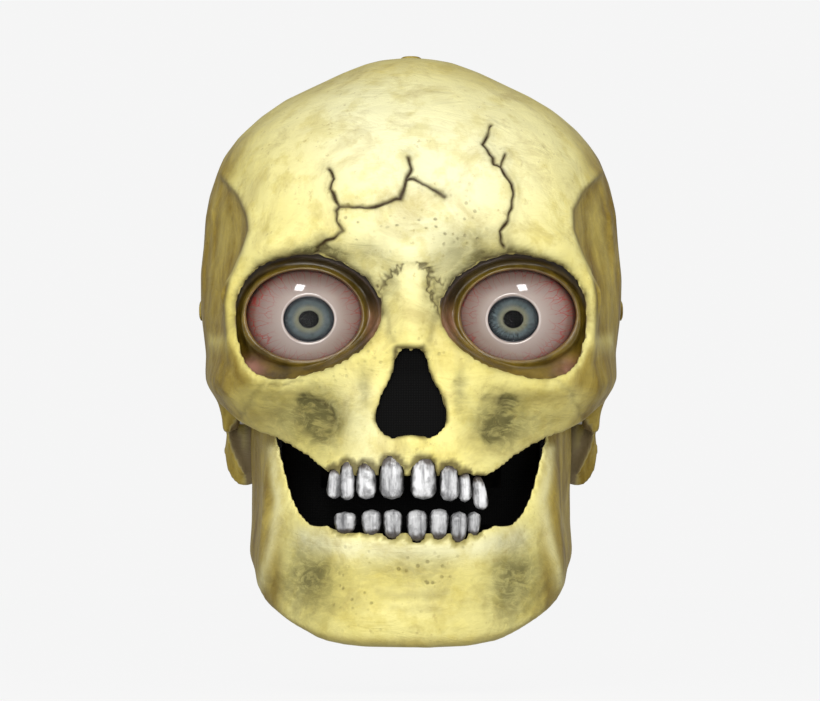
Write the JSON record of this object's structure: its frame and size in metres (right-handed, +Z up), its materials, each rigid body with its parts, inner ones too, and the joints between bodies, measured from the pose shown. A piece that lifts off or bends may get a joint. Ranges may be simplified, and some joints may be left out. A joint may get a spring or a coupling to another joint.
{
  "type": "latex halloween mask",
  "caption": "Open-backed skull mask with a hinged jaw, bulging eyes, separate teeth, foam pads and an elastic head harness.",
  "frame": {"origin": "centre of the crown pad's flat underside, where the mask rests on the wearer's head", "axes": "+Z up, -Y out of the face, +X towards the wearer's left side"},
  "size_m": [0.2106, 0.2237, 0.2914],
  "materials": {
    "bone": "satin latex, painted yellow bone",
    "sclera": "glossy, pink and bloodshot",
    "iris": "printed grey-blue fibres",
    "cornea": "clear, polished",
    "black_mesh": "fine black mesh",
    "lid": "wet-looking ochre brown",
    "tooth": "silver-grey, dark stained edges",
    "black_plastic": "moulded",
    "steel": "plain",
    "elastic": "covered cord",
    "foam": "closed-cell foam with a brushed cover",
    "webbing": "woven black elastic"
  },
  "bodies": {
    "skull": {"skull_shell": "bone", "eyeball_left": "sclera", "iris_left": "iris", "cornea_left": "cornea", "pupil_screen_left": "black_mesh", "eyelids_left": "lid", "eye_ring_left": "black_plastic", "hinge_cap_left": "black_plastic", "upper_peg_left": "black_plastic", "hinge_stud_left": "steel", "strap_rivet_left": "steel", "strap_rivet_left_cap": "steel", "jaw_elastic_left": "elastic", "cheek_pad_left": "foam", "eyeball_right": "sclera", "iris_right": "iris", "cornea_right": "cornea", "pupil_screen_right": "black_mesh", "eyelids_right": "lid", "eye_ring_right": "black_plastic", "hinge_cap_right": "black_plastic", "upper_peg_right": "black_plastic", "hinge_stud_right": "steel", "strap_rivet_right": "steel", "strap_rivet_right_cap": "steel", "jaw_elastic_right": "elastic", "cheek_pad_right": "foam", "upper_tooth_1": "tooth", "upper_tooth_2": "tooth", "upper_tooth_3": "tooth", "upper_tooth_4": "tooth", "upper_tooth_5": "tooth", "upper_tooth_6": "tooth", "upper_tooth_7": "tooth", "upper_tooth_8": "tooth", "upper_tooth_bar": "black_plastic", "nose_scrim": "black_mesh", "mouth_scrim": "black_mesh", "crown_pad": "foam", "forehead_pad": "foam", "back_strap": "webbing", "crown_strap": "webbing", "crown_rivet": "steel", "crown_rivet_cap": "steel"},
    "jaw": {"jaw_shell": "bone", "lower_tooth_1": "tooth", "lower_tooth_2": "tooth", "lower_tooth_3": "tooth", "lower_tooth_4": "tooth", "lower_tooth_5": "tooth", "lower_tooth_6": "tooth", "lower_tooth_7": "tooth", "lower_tooth_bar": "black_plastic", "lower_peg_left": "black_plastic", "lower_peg_right": "black_plastic", "chin_sling": "webbing"},
    "slider": {"strap_slider": "black_plastic"}
  },
  "joints": [
    {"name": "jaw_hinge", "type": "hinge", "parent": "skull", "child": "jaw", "pos_m": [0, 0.024, -0.156], "axis": [1, 0, 0], "range_deg": [0, 12], "stiffness_Nm_per_rad": 0.5, "springref_deg": -20.05, "deforming": ["jaw_elastic_left", "jaw_elastic_right"]},
    {"name": "slider_travel", "type": "hinge", "parent": "skull", "child": "slider", "pos_m": [0, 0.032, -0.108], "axis": [0, 0, 1], "range_deg": [-16, 25]}
  ]
}
